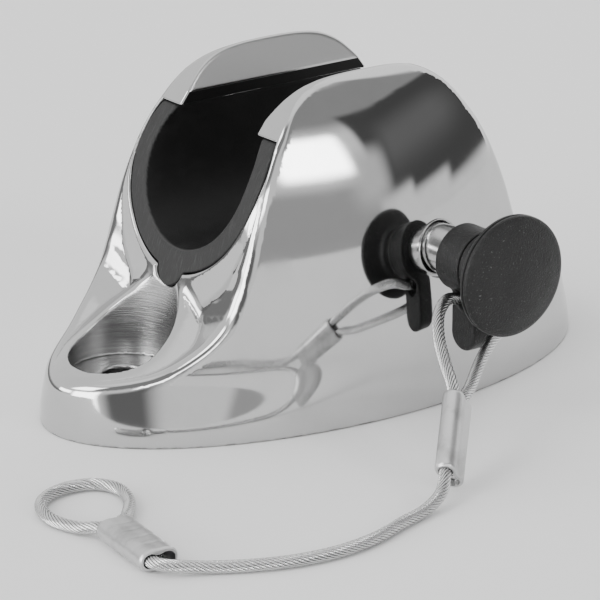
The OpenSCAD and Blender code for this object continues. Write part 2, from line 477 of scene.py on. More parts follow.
class Effects:
    """Shared effects as node groups that give masks, values and normals."""

    made: dict[str, bpy.types.NodeTree] = {}

    @classmethod
    def group(cls, name: str, ins: Sequence[str], outs: Sequence[str], build: Callable) -> bpy.types.NodeTree:
        """Makes a group once.

        Args:
            name: of the group.
            ins, outs: socket names; a name that starts with v_ is a vector.
            build: fills the group, given its graph and its input and output nodes.

        Returns:
            The group's tree.
        """
        if name not in cls.made:
            tree = bpy.data.node_groups.new(name, "ShaderNodeTree")
            for words, way in ((ins, "INPUT"), (outs, "OUTPUT")):
                for word in words:
                    kind = "NodeSocketVector" if word.startswith("v_") else "NodeSocketFloat"
                    tree.interface.new_socket(word, in_out=way, socket_type=kind)
            graph = Graph(tree)
            build(graph, graph.add("NodeGroupInput").outputs, graph.add("NodeGroupOutput").inputs)
            cls.made[name] = tree
        return cls.made[name]

    @classmethod
    def handling(cls) -> bpy.types.NodeTree:
        """Smudges and hairline scratches from handling and polishing cloths."""

        def build(g: Graph, i: object, o: object) -> None:
            """Fills the group."""
            where = g.scaled(i["v_place"], i["scale"])
            smudge = g.spread(g.noise(where, 0.09, 4.0, 0.6), 0.42, 0.72)
            long = g.mapped(where, (0.4, 0.2, 0.7), (0.12, 2.2, 2.2))
            hair = g.noise(long, 2.4, 2.0, 0.7)
            cross = g.mapped(where, (0.9, 1.1, 0.1), (2.6, 0.1, 2.6))
            hair2 = g.noise(cross, 2.0, 2.0, 0.7)
            g.join(smudge, o["smudge"])
            both = g.plus(g.times(hair, 0.5), g.times(hair2, 0.5))
            g.join(both, o["scratch"])

        return cls.group("handling_marks", ["v_place", "scale"], ["smudge", "scratch"], build)

    @classmethod
    def grain(cls) -> bpy.types.NodeTree:
        """Fine pebble of a mould or a casting skin."""

        def build(g: Graph, i: object, o: object) -> None:
            """Fills the group."""
            where = g.scaled(i["v_place"], i["scale"])
            cell_ins = {"Vector": where, "Scale": 1.0, "Randomness": 1.0}
            cells = g.add("TexVoronoi", cell_ins, feature="SMOOTH_F1").outputs[0]
            soft = g.noise(where, 0.8, 3.0, 0.55)
            both = g.plus(g.times(cells, 0.7), g.times(soft, 0.5))
            g.join(both, o["height"])
            g.join(g.spread(both, 0.3, 0.9), o["mask"])

        return cls.group("pebble_grain", ["v_place", "scale"], ["height", "mask"], build)

    @classmethod
    def tool_rings(cls) -> bpy.types.NodeTree:
        """Uneven turning lines that follow a distance."""

        def build(g: Graph, i: object, o: object) -> None:
            """Fills the group."""
            at = g.times(i["distance"], i["lines"])
            where = g.add("CombineXYZ", {0: at, 1: g.times(i["drift"], 0.15)}).outputs[0]
            g.join(g.noise(where, 1.0, 3.0, 0.65), o["height"])

        return cls.group("turning_lines", ["distance", "lines", "drift"], ["height"], build)


@dataclass(frozen=True)
class Finish:
    """A finish: its plain numbers, and the way its nodes are laid."""

    name: str
    base: float
    roughness: float
    metallic: float = 0.0
    sheen: float = 0.5

    def start(self) -> tuple[Material, Graph, bpy.types.Node, Socket]:
        """Makes the material with its shader.

        Returns:
            The material, its graph, its shader and the piece's own place in millimetres.
        """
        material = bpy.data.materials.new(self.name)
        material.use_nodes = True
        g = Graph(material.node_tree)
        shader = material.node_tree.nodes["Principled BSDF"]
        shader.inputs["Base Color"].default_value = grey(self.base)
        shader.inputs["Roughness"].default_value = self.roughness
        shader.inputs["Metallic"].default_value = self.metallic
        shader.inputs["Specular IOR Level"].default_value = self.sheen
        own = g.add("TexCoord").outputs["Object"]
        place = g.add("Mapping", {"Vector": own, "Scale": (1 / MM,) * 3}).outputs[0]
        return material, g, shader, place

    @staticmethod
    def finish(g: Graph, shader: bpy.types.Node, tone: object, rough: object, normal: object) -> None:
        """Joins the tone, the roughness and the normal to the shader."""
        g.join(tone, shader.inputs["Base Color"])
        g.join(rough, shader.inputs["Roughness"])
        g.join(normal, shader.inputs["Normal"])

    @staticmethod
    def attribute(g: Graph, name: str) -> Socket:
        """A number stored on the piece."""
        return g.add("Attribute", attribute_name=name).outputs["Fac"]


@dataclass(frozen=True)
class PolishedCasting(Finish):
    """Mirror polished stainless casting with machined holes and a raw underside."""

    screw_x: float = 48.0
    cbore_r: float = 11.0
    floor_z: float = 9.7
    land_z: float = 61.3

    def make(self) -> Material:
        """Lays the nodes and gives the material."""
        m, g, shader, place = self.start()
        xyz = g.add("SeparateXYZ", {0: place}).outputs
        off = g.math("SUBTRACT", g.math("ABSOLUTE", xyz[0]), self.screw_x)
        square = g.plus(g.times(off, off), g.times(xyz[1], xyz[1]))
        reach = g.math("SQRT", square)
        within = g.spread(reach, self.cbore_r + 0.25, self.cbore_r + 0.12)
        bored = g.times(within, g.spread(xyz[2], 1.0, 1.4))
        inward = g.spread(self.attribute(g, "inner_face"), 0.35, 0.6)
        leaning = g.times(inward, g.spread(xyz[2], self.land_z - 0.3, self.land_z + 0.2))
        raw = self.attribute(g, "raw_face")
        above = g.spread(xyz[2], self.land_z - 2.9, self.land_z - 2.7)
        facing = g.spread(self.attribute(g, "inner_face"), 0.8, 0.95)
        below = g.spread(xyz[2], self.land_z - 0.1, self.land_z - 0.3)
        bonded = g.times(g.times(facing, above), below)
        marks = g.effect(Effects.handling(), {"v_place": place, "scale": 1.0})
        skin = g.effect(Effects.grain(), {"v_place": place, "scale": 1.6})
        on_floor = g.spread(xyz[2], self.floor_z + 0.5, self.floor_z + 0.2)
        on_wall = g.math("SUBTRACT", 1.0, on_floor)
        along = g.plus(g.times(reach, on_floor), g.times(xyz[2], on_wall))
        ring_ins = {"distance": along, "lines": 3.2, "drift": xyz[1]}
        rings = g.effect(Effects.tool_rings(), ring_ins)
        rough = g.plus(self.roughness, g.times(marks["smudge"], 0.035))
        rough = g.plus(rough, g.times(g.spread(marks["scratch"], 0.5, 0.75), 0.02))
        for share, value in ((bored, 0.26), (leaning, 0.3), (bonded, 0.5), (raw, 0.6)):
            rough = g.add("Mix", {0: share, 2: rough, 3: value}).outputs[0]
        tone = g.blend(marks["smudge"], grey(self.base), grey(self.base * 0.96))
        # painted shade: concave creases of the polished surface darkened towards grey 0.3
        tone = g.blend(g.spread(self.attribute(g, "crease"), 0.2, 1.0, 0.0, 0.5), tone, grey(0.3))
        machined = g.blend(g.spread(rings["height"], 0.3, 0.7), grey(0.34), grey(0.5))
        tone = g.blend(bored, tone, machined)
        tone = g.blend(leaning, tone, grey(0.46))
        tone = g.blend(bonded, tone, grey(0.02))
        tone = g.blend(raw, tone, g.blend(skin["mask"], grey(0.2), grey(0.42)))
        even = g.bump(marks["scratch"], 0.02, 0.00004)
        turned_face = g.bump(rings["height"], g.times(bored, 0.5), 0.0001, even)
        cast_face = g.bump(skin["height"], g.times(raw, 0.6), 0.0004, turned_face)
        self.finish(g, shader, tone, rough, cast_face)
        return m


@dataclass(frozen=True)
class SoftRubber(Finish):
    """Black rubber: deep in the channel, dull dark grey on its cut ends, with a painted highlight on the
    inner rim of each cut end.
    """

    cut_tone: float = 0.022

    def make(self) -> Material:
        """Lays the nodes and gives the material."""
        m, g, shader, place = self.start()
        skin = g.effect(Effects.grain(), {"v_place": place, "scale": 3.0})
        dust = g.spread(g.noise(place, 0.25, 5.0, 0.65), 0.45, 0.75)
        cut = self.attribute(g, "cut_face")
        edge = self.attribute(g, "painted_edge_highlight")
        base = g.blend(dust, grey(self.base), grey(self.base * 1.8))
        tone = g.blend(cut, base, g.blend(dust, grey(self.cut_tone), grey(self.cut_tone * 1.35)))
        streak = g.noise(g.mapped(place, (0.0, 0.5, 0.0), (0.3, 3.0, 0.3)), 1.0, 3.0, 0.7)
        tone = g.blend(g.times(cut, g.spread(streak, 0.5, 0.75)), tone, grey(self.cut_tone * 1.9))
        # painted highlight: the inner rim of each cut end lightened towards grey 0.12
        tone = g.blend(g.times(edge, 0.6), tone, grey(0.12))
        rough = g.plus(self.roughness, g.times(dust, 0.15))
        self.finish(g, shader, tone, rough, g.bump(skin["height"], 0.35, 0.00012))
        return m


@dataclass(frozen=True)
class TurnedSteel(Finish):
    """Bright steel with fine turning lines along its length."""

    lines: float = 6.0

    def make(self) -> Material:
        """Lays the nodes and gives the material."""
        m, g, shader, place = self.start()
        xyz = g.add("SeparateXYZ", {0: place}).outputs
        marks = g.effect(Effects.handling(), {"v_place": place, "scale": 2.0})
        ring_ins = {"distance": xyz[1], "lines": self.lines, "drift": xyz[0]}
        rings = g.effect(Effects.tool_rings(), ring_ins)
        rough = g.plus(self.roughness, g.times(marks["smudge"], 0.08))
        hairs = g.bump(marks["scratch"], 0.08, 0.00003)
        tone = g.blend(rings["height"], grey(self.base * 0.86), grey(self.base))
        self.finish(g, shader, tone, rough, g.bump(rings["height"], 0.25, 0.00006, hairs))
        return m


@dataclass(frozen=True)
class MouldedPlastic(Finish):
    """Black moulded plastic with a fine pebble, smoother on rims and edges."""

    pebble: float = 4.5

    def make(self) -> Material:
        """Lays the nodes and gives the material."""
        m, g, shader, place = self.start()
        skin = g.effect(Effects.grain(), {"v_place": place, "scale": self.pebble})
        marks = g.effect(Effects.handling(), {"v_place": place, "scale": 1.5})
        rub = g.spread(g.noise(place, 0.4, 4.0, 0.6), 0.5, 0.8)
        speck = g.spread(g.noise(place, 3.2, 1.0, 0.4), 0.68, 0.76)
        tone = g.blend(rub, grey(self.base), grey(self.base * 1.7))
        tone = g.blend(g.times(speck, 0.7), tone, grey(0.14))
        rough = g.plus(self.roughness, g.times(marks["smudge"], 0.12))
        rough = g.math("SUBTRACT", rough, g.times(skin["mask"], 0.05))
        normal = g.bump(skin["height"], 0.7, 0.00025, g.bump(marks["scratch"], 0.1, 0.00003))
        self.finish(g, shader, tone, rough, normal)
        return m


@dataclass(frozen=True)
class DrawnWire(Finish):
    """Drawn steel wire with painted shade between the wires, read from each wire's own UV map."""

    streaks: float = 5.0

    def make(self) -> Material:
        """Lays the nodes and gives the material."""
        m, g, shader, place = self.start()
        uv = g.add("SeparateXYZ", {0: g.add("UVMap", uv_map="UVMap").outputs[0]}).outputs
        # inward side of each wire, where it lies against its neighbours
        deep = g.spread(g.math("ABSOLUTE", g.math("SUBTRACT", uv[1], 0.5)), 0.14, 0.34)
        ends = {0: g.times(uv[0], 40.0), 1: g.times(uv[1], self.streaks)}
        drawn = g.add("CombineXYZ", ends).outputs[0]
        streak = g.noise(drawn, 2.0, 2.0, 0.6)
        marks = g.effect(Effects.handling(), {"v_place": place, "scale": 3.0})
        dull = g.times(marks["smudge"], 0.4)
        tone = g.blend(dull, grey(self.base), grey(self.base * 0.62))
        # painted shade between the wires: the inward side of each wire darkened to an eighth of the base
        tone = g.blend(deep, tone, grey(self.base * 0.12))
        rough = g.plus(self.roughness, g.times(marks["smudge"], 0.12))
        self.finish(g, shader, tone, rough, g.bump(streak, 0.3, 0.00003))
        return m


@dataclass(frozen=True)
class PressedSleeve(Finish):
    """Soft plated metal of the pressed ferrules: satin, with press marks and nicks."""

    def make(self) -> Material:
        """Lays the nodes and gives the material."""
        m, g, shader, place = self.start()
        marks = g.effect(Effects.handling(), {"v_place": place, "scale": 2.2})
        skin = g.effect(Effects.grain(), {"v_place": place, "scale": 5.0})
        tone = g.blend(marks["smudge"], grey(self.base), grey(self.base * 0.7))
        rough = g.plus(self.roughness, g.times(marks["scratch"], 0.15))
        normal = g.bump(marks["scratch"], 0.25, 0.0001, g.bump(skin["height"], 0.12, 0.0001))
        self.finish(g, shader, tone, rough, normal)
        return m


# ---------------------------------------------------------------- sub-assemblies


def fit_out(obj: Solid, body: Rides, material: Material, slot: str, *nodes: str) -> Solid:
    """Dresses a finished piece and hangs it on its body.

    Args:
        obj: the piece.
        body: what it moves with.
        material: its material.
        slot: a finish slot name; not used.
        nodes: the CAD nodes it stands for.

    Returns:
        The piece.
    """
    obj.data.materials.clear()
    obj.data.materials.append(material)
    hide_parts(*nodes)
    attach(obj, body.value)
    log.info("%s: %d faces", obj.name, len(obj.data.polygons))
    return obj


@dataclass
class Casting:
    """The polished body: bell-shaped walls cut by the crown line, bored and hollowed."""

    foot_half: tuple[float, float] = (65.4, 33.6)
    crest_half: tuple[float, float] = (46.0, 15.6)
    foot_h: float = 9.5
    height: float = 69.0
    seat_r: float = 21.2
    channel_z: float = 50.2
    mouth_y: float = 13.0
    lip_z: float = 58.5
    land_z: float = 61.3
    lead_in: float = 0.3
    keel: tuple[float, float] = (30.6, 4.6)
    screw_x: float = 48.0
    cbore: tuple[float, float] = (11.0, 9.7)
    screw_r: float = 4.25
    pin_at: tuple[float, float] = (9.0, 33.2)
    pin_bore: float = 5.05
    # Outline seen from above: its power, what is added to it at the floor and how high
    # that reaches, and how far its two pointed ends are blunted along X and Y.
    plan_power: float = 1.7
    plan_extra: float = 0.26
    square_h: float = 15.0
    blunt: tuple[float, float] = (3.0, 2.0)
    end_power: float = 0.45
    side_powers: tuple[float, float] = (2.2, 0.625)
    # Edge between wall and crown: heights between which its easing narrows.
    bead_z: tuple[float, float] = (48.0, 64.0)
    bead_ease: tuple[float, float] = (2.6, 0.9)
    channel_ease: float = 0.7
    screw_ease: float = 0.6
    bore_ease: float = 1.6
    hollow_half: tuple[float, float] = (31.0, 23.0)
    hollow_corner: float = 12.0
    hollow_h: float = 20.0
    hollow_ease: float = 2.0
    web_half: float = 2.0
    web_ease: float = 1.0
    voxel: float = 0.85
    crown: tuple[tuple[float, float], ...] = (
        (-66, 11.4), (-61, 12.6), (-55, 14), (-50, 15.7), (-45.5, 18.5), (-41.5, 21.8),
        (-38.5, 25.5), (-36.5, 30), (-34.6, 36), (-32.4, 43), (-29.6, 50), (-26.5, 55.5),
        (-23.6, 59.3), (-21, 62.5), (-17.5, 65.6), (-13, 67.7), (-6.5, 68.8), (0, 69),
    )
    # Valley between the rim and the edge bead: distance from the middle, place of the
    # crease, how wide the slope down to it is, and its depth.
    valley: tuple[tuple[float, float, float, float], ...] = (
        (24.0, 20.6, 0.3, 0.02), (26.5, 20.9, 0.4, 0.1), (29.6, 21.9, 0.8, 0.3), (32.7, 21.7, 2.2, 0.6),
        (34.6, 19.3, 3.8, 0.9), (35.8, 16.8, 5.0, 1.2), (37.0, 13.0, 6.0, 1.5), (38.0, 12.3, 6.0, 1.9),
        (38.8, 13.7, 6.5, 2.1), (41.9, 15.8, 6.4, 2.0), (45.1, 15.8, 5.2, 1.6), (49.0, 15.0, 4.3, 1.1),
        (53.0, 13.2, 3.6, 0.8), (56.3, 10.8, 3.2, 0.6), (59.2, 8.2, 3.0, 0.4), (61.0, 5.8, 2.5, 0.2),
        (64.5, 2.0, 2.0, 0.0), (70.0, 1.0, 2.0, 0.0),
    )

    def __post_init__(self) -> None:
        """Works out the crown line's table."""
        flat = catmull([(x, z, 0.0) for x, z in self.crown], 24)
        self.crown_line = flat[:, :2]
        self.valley_line = catmull(self.valley, 24)

    def walls(self, p: Array) -> Array:
        """Outer wall: 0 on it, larger outside."""
        a, b = self.wall_halves(p[:, 2])
        fade = np.clip(p[:, 2] / self.square_h, 0, 1)
        n = self.plan_power + self.plan_extra * (1 - fade**2 * (3 - 2 * fade))
        ax, ay = (np.sqrt(p[:, k] ** 2 + self.blunt[k] ** 2) for k in (0, 1))
        return ((ax / a) ** n + (ay / b) ** n) ** (1 / n) - 1

    def wall_halves(self, z: Array) -> tuple[Array, Array]:
        """Half length and half width of the wall at a height, eased in above the foot."""
        rise = soft_max(z - self.foot_h, np.zeros_like(z), self.foot_h - 0.5)
        u = np.clip(rise / (self.height - self.foot_h), 0, 0.9995)
        swell, settle = self.side_powers
        a = self.crest_half[0] + (self.foot_half[0] - self.crest_half[0]) * (1 - u) ** self.end_power
        b = self.crest_half[1] + (self.foot_half[1] - self.crest_half[1]) * (1 - u**swell) ** settle
        return a, b

    def wall_half_width(self, x: Array, z: Array) -> Array:
        """Half width of the wall at a place along the channel and a height."""
        a, b = self.wall_halves(z)
        left = 1 - np.clip(np.abs(x) / a, 0, 1) ** self.plan_power
        return b * np.clip(left, 0, 1) ** (1 / self.plan_power)

    def crown_height(self, p: Array) -> Array:
        """Height above the crown line."""
        return p[:, 2] - np.interp(-np.abs(p[:, 0]), self.crown_line[:, 0], self.crown_line[:, 1])

    def valley_depth(self, p: Array) -> Array:
        """How far the crown surface is let in at each point."""
        x, y = np.abs(p[:, 0]), np.abs(p[:, 1])
        crease, wide, deep = self.valley_at(x)
        line_z = np.interp(-x, self.crown_line[:, 0], self.crown_line[:, 1])
        edge = np.maximum(self.wall_half_width(x, line_z), crease + 0.5)
        inner = np.clip((y - crease + wide) / wide, 0, 2) ** 1.3
        outer = 1 - (y - crease) / (edge - crease)
        return np.maximum(deep, 0) * np.maximum(soft_min(inner, outer, 0.16), 0)

    def valley_at(self, x: Array) -> tuple[Array, Array, Array]:
        """Place, width and depth of the valley at a distance from the middle."""
        keys = self.valley_line
        return tuple(np.interp(x, keys[:, 0], keys[:, k]) for k in (1, 2, 3))

    def near_crease(self, p: Array) -> Array:
        """Below 0 near the valley's crease, the channel's edge and the crest's edge."""
        crease = np.abs(np.abs(p[:, 1]) - self.valley_at(np.abs(p[:, 0]))[0]) - 1.0
        crown = np.abs(true_size(self.crown_height, p))
        rim = np.maximum(np.abs(self.channel(p)), crown - 0.6) - 0.7
        crest = np.maximum(np.maximum(np.abs(true_size(self.walls, p)), crown) - 0.5, 46 - p[:, 2])
        return np.minimum(np.minimum(crease, rim), crest)

    def channel(self, p: Array) -> Array:
        """Distance to the space of the liner, its keel, the mouth and the lead-in faces."""
        y, z = np.abs(p[:, 1]), p[:, 2]
        seat = np.maximum(np.hypot(y, z - self.channel_z) - self.seat_r, z - self.lip_z)
        keel = np.hypot(y, z - self.keel[0]) - self.keel[1]
        mouth = np.maximum(y - self.mouth_y, self.channel_z - z)
        lead = (y - self.mouth_y - self.lead_in * (z - self.land_z)) / math.hypot(1, self.lead_in)
        lead = np.maximum(lead, self.land_z - z)
        return np.minimum(np.minimum(seat, keel), np.minimum(mouth, lead))

    def hollow(self, p: Array) -> Array:
        """Distance to the hollow underside, with its web left standing."""
        corner = self.hollow_corner
        q = np.abs(p[:, :2]) - (self.hollow_half[0] - corner, self.hollow_half[1] - corner)
        box = np.linalg.norm(np.maximum(q, 0), axis=1) + np.minimum(q.max(axis=1), 0) - corner
        room = soft_max(box, p[:, 2] - self.hollow_h, self.hollow_ease)
        return soft_max(room, self.web_half - np.abs(p[:, 0]), self.web_ease)

    def surface(self, p: Array) -> Array:
        """Signed distance to the finished casting."""
        wall = true_size(self.walls, p)
        crown = true_size(self.crown_height, p) + self.valley_depth(p)
        body = soft_max(wall, crown, np.interp(p[:, 2], self.bead_z, self.bead_ease))
        body = soft_max(body, -self.channel(p), self.channel_ease)
        reach = np.hypot(np.abs(p[:, 0]) - self.screw_x, p[:, 1])
        sunk = np.maximum(reach - self.cbore[0], self.cbore[1] - p[:, 2])
        body = soft_max(body, -sunk, self.screw_ease)
        body = soft_max(body, -(reach - self.screw_r), self.screw_ease)
        bore = np.hypot(p[:, 0] - self.pin_at[0], p[:, 2] - self.pin_at[1]) - self.pin_bore
        body = soft_max(body, -bore, self.bore_ease)
        body = soft_max(body, -self.hollow(p), self.web_ease)
        return soft_max(body, -p[:, 2], self.screw_ease)

    def make(self, finish: PolishedCasting) -> Solid:
        """Carves and dresses the casting.

        Args:
            finish: its finish.

        Returns:
            The piece.
        """
        obj = blank_of("body", "chock_casting", self.voxel)
        p = carve(obj, self.surface, 1, 12.0, self.near_crease)
        n = unit(slope(self.surface, p, 0.05))
        inner = np.where(np.abs(p[:, 1]) < self.mouth_y + 2.6, -n[:, 1] * np.sign(p[:, 1]), 0)
        raw = np.clip(np.maximum(-n[:, 2] * 3 - 1.5, 0), 0, 1) * (p[:, 2] < self.hollow_h + 1)
        raw = np.maximum(raw, (self.hollow(p) < 0.6) & (p[:, 2] < self.hollow_h + 1.5))
        raw = np.maximum(raw, (p[:, 2] < 0.12))
        seat = np.abs(np.hypot(p[:, 1], p[:, 2] - self.channel_z) - self.seat_r) < 0.3
        raw = np.maximum(raw, 0.7 * seat * (np.abs(p[:, 0]) < 30) * (p[:, 2] < self.lip_z))
        # concavity of the surface, stored as crease for the material's painted shade in creases
        bend = sum(self.surface(p + s * e) for e in 0.5 * np.eye(3) for s in (1, -1)) / 0.25
        note(obj, "inner_face", np.clip(inner, 0, 1))
        note(obj, "raw_face", np.clip(raw, 0, 1))
        note(obj, "crease", np.clip(-bend / 1.5, 0, 1))
        return fit_out(obj, Rides.CHOCK, finish.make(), "cast_stainless", "body")


@dataclass
class Liner:
    """Rubber lining of the channel, cut flush with the crown line at both ends."""

    casting: Casting
    pole_r: float = 16.5
    slack: float = 0.12
    sunk: float = 0.35
    slot_y: float = 14.19
    pin_hole: float = 5.5

    def surface(self, p: Array) -> Array:
        """Signed distance to the liner."""
        c = self.casting
        z = p[:, 2] - c.channel_z
        around = np.hypot(p[:, 1], z)
        ring = soft_max(around - c.seat_r + self.slack, p[:, 2] - c.lip_z + self.slack, 0.5)
        keel = np.hypot(p[:, 1], p[:, 2] - c.keel[0]) - c.keel[1] + self.slack
        body = soft_min(ring, keel, 0.5)
        body = soft_max(body, true_size(c.crown_height, p) + self.sunk, 0.7)
        body = soft_max(body, self.pole_r - around, 0.9)
        body = soft_max(body, np.minimum(self.slot_y - np.abs(p[:, 1]), z), 0.5)
        hole = np.hypot(p[:, 0] - c.pin_at[0], p[:, 2] - c.pin_at[1]) - self.pin_hole
        return soft_max(body, -hole, 0.4)

    def make(self, finish: SoftRubber) -> Solid:
        """Carves and dresses the liner."""
        obj = blank_of("channel_liner", "rubber_liner", 0.8)
        p = carve(obj, self.surface, 1)
        level = true_size(self.casting.crown_height, p) + self.sunk
        inner = np.abs(np.hypot(p[:, 1], p[:, 2] - self.casting.channel_z) - self.pole_r)
        note(obj, "cut_face", np.clip(1 + (level + 0.12) / 0.15, 0, 1))
        # inner rim of the cut ends, lightened by the material as a painted highlight
        note(obj, "painted_edge_highlight", np.clip(1 - inner / 0.35, 0, 1) * np.clip(1 + (level + 0.3) / 0.3, 0, 1))
        return fit_out(obj, Rides.CHOCK, finish.make(), "liner_rubber", "channel_liner")


@dataclass
class LockingPin:
    """Turned pin with its stud and ball pocket, the knob, and the sprung ball."""

    axis: Point = (9.0, 0.0, 33.2)
    pin_r: float = 5.0
    stud_r: float = 4.0
    shank_y: float = -37.5
    tip_y: float = 36.0
    ball_y: float = 26.5
    ball_r: float = 1.6
    ball_seat: float = 3.43
    pocket_z: float = 29.8

    def shaft(self, finish: TurnedSteel) -> Solid:
        """Turns the pin and bores the pocket for the ball."""
        outline = eased(
            [
                (0, -52.5, 0), (self.stud_r - 0.3, -52.5, 0), (self.stud_r, -52.2, 0.1),
                (self.stud_r, self.shank_y, 0), (self.pin_r - 0.35, self.shank_y, 0.1),
                (self.pin_r, self.shank_y + 0.35, 0.15), (self.pin_r, self.tip_y - 1.7, 0.5),
                (self.pin_r - 1.5, self.tip_y, 0.4), (0, self.tip_y, 0),
            ]
        )
        obj = turned(outline, self.axis, "pin_shaft_turned")
        bm = bmesh.new()
        bmesh.ops.create_cone(
            bm, cap_ends=True, segments=32, radius1=self.ball_r + 0.05, radius2=self.ball_r + 0.05, depth=10,
            matrix=Matrix.Translation((self.axis[0], self.ball_y, self.pocket_z + 5)),
        )
        cut_away(obj, as_object(bm, "pocket_tool"))
        crisp(obj)
        return fit_out(obj, Rides.PIN, finish.make(), "pin_steel", "pin_shaft")

    def knob(self, finish: MouldedPlastic) -> Solid:
        """Turns the mushroom knob: neck, under-curve, grooved rim and low dome."""
        outline = eased(
            [
                (self.stud_r + 0.02, -45.0, 0), (6.6, -45.0, 0.2), (6.9, -45.3, 0.2), (6.85, -46.6, 0.6),
                (6.25, -48.6, 1.0), (6.35, -50.4, 0.8), (7.3, -51.3, 0.6), (9.6, -51.75, 0.8),
                (11.9, -52.15, 0.4),
                (12.42, -52.35, 0.2), (12.5, -52.75, 0.15), (12.5, -53.08, 0.05), (12.2, -53.2, 0.05),
                (12.2, -53.34, 0.05), (12.5, -53.46, 0.05), (12.5, -53.95, 0.15), (12.3, -54.3, 0.25),
                (11.7, -54.62, 0.5),
                (8.6, -55.38, 1.2), (4.6, -55.85, 1.2), (0, -56.0, 0),
            ]
        )
        stud_hole = [(0, -52.55), (self.stud_r + 0.02, -52.55), (self.stud_r + 0.02, -45.0)]
        obj = turned(outline + stud_hole, self.axis, "mushroom_knob", 128)
        crisp(obj, 50)
        return fit_out(obj, Rides.PIN, finish.make(), "knob_plastic", "knob")

    def ball(self, finish: TurnedSteel) -> Solid:
        """Makes the ball with the small flat that wears where it rubs the bore."""
        bm = bmesh.new()
        top = self.axis[2] + self.ball_seat
        middle = Matrix.Translation((self.axis[0], self.ball_y, top))
        bmesh.ops.create_icosphere(bm, subdivisions=5, radius=self.ball_r, matrix=middle)
        for v in bm.verts:
            v.co.z = min(v.co.z, top + self.ball_r - 0.015)
        return fit_out(as_object(bm, "sprung_ball"), Rides.BALL, finish.make(), "pin_steel", "detent_ball")

    def spring(self, finish: TurnedSteel) -> Solid:
        """Winds the small spring under the ball, with closed end turns."""
        wire, mean = 0.28, 0.82
        low, high = self.pocket_z + wire, self.axis[2] + self.ball_seat - self.ball_r - wire
        turn = np.linspace(0, 5.5, 180)
        rise = np.interp(turn, (0, 0.8, 4.7, 5.5), (0, 0.1, 0.9, 1.0)) * (high - low) + low
        a = turn * math.tau
        line = np.stack([self.axis[0] + mean * np.cos(a), self.ball_y + mean * np.sin(a), rise], axis=1)
        _, side, up = frames_along(line)
        bm = bmesh.new()
        bm.loops.layers.uv.new("UVMap")
        tube(bm, line, side, up, wire * 0.98, 10)
        bmesh.ops.recalc_face_normals(bm, faces=bm.faces)
        obj = fit_out(as_object(bm, "ball_spring"), Rides.PIN, finish.make(), "spring_steel", "detent_spring")
        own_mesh(obj)
        return obj


@dataclass
class SwivelRing:
    """Moulded ring on the stud with the ear that carries the lanyard."""

    pin: LockingPin
    barrel_r: float = 6.9
    middle_y: float = -41.25
    half_w: float = 3.7
    ear_half_t: float = 2.4
    ear_bottom: float = 14.4
    eye_z: float = 25.3
    eye_r: float = 2.2

    def surface(self, p: Array) -> Array:
        """Signed distance to the ring and its ear."""
        x, y, z = p[:, 0] - self.pin.axis[0], p[:, 1] - self.middle_y, p[:, 2]
        around = np.hypot(x, z - self.pin.axis[2])
        barrel = soft_max(around - self.barrel_r, np.abs(y) - self.half_w, 0.5)
        low = self.ear_bottom + self.half_w
        drop = np.hypot(y, z - np.clip(z, low, self.pin.axis[2])) - self.half_w
        ear = soft_max(drop, np.abs(x) - self.ear_half_t, 0.7)
        body = soft_min(barrel, ear, 1.0)
        body = soft_max(body, np.abs(y) - self.half_w, 0.5)
        body = soft_max(body, self.pin.stud_r + 0.05 - around, 0.4)
        return soft_max(body, self.eye_r - np.hypot(y, z - self.eye_z), 0.8)

    def make(self, finish: MouldedPlastic) -> Solid:
        """Carves and dresses the ring."""
        obj = blank_of("lanyard_ring", "swivel_ring", 0.35)
        carve(obj, self.surface, 0)
        return fit_out(obj, Rides.LANYARD, finish.make(), "knob_plastic", "lanyard_ring")


class Press(Enum):
    """How a ferrule was closed."""

    LENGTHWISE = "creased along between its two strands"
    CROSSWISE = "nipped across by the press four times"


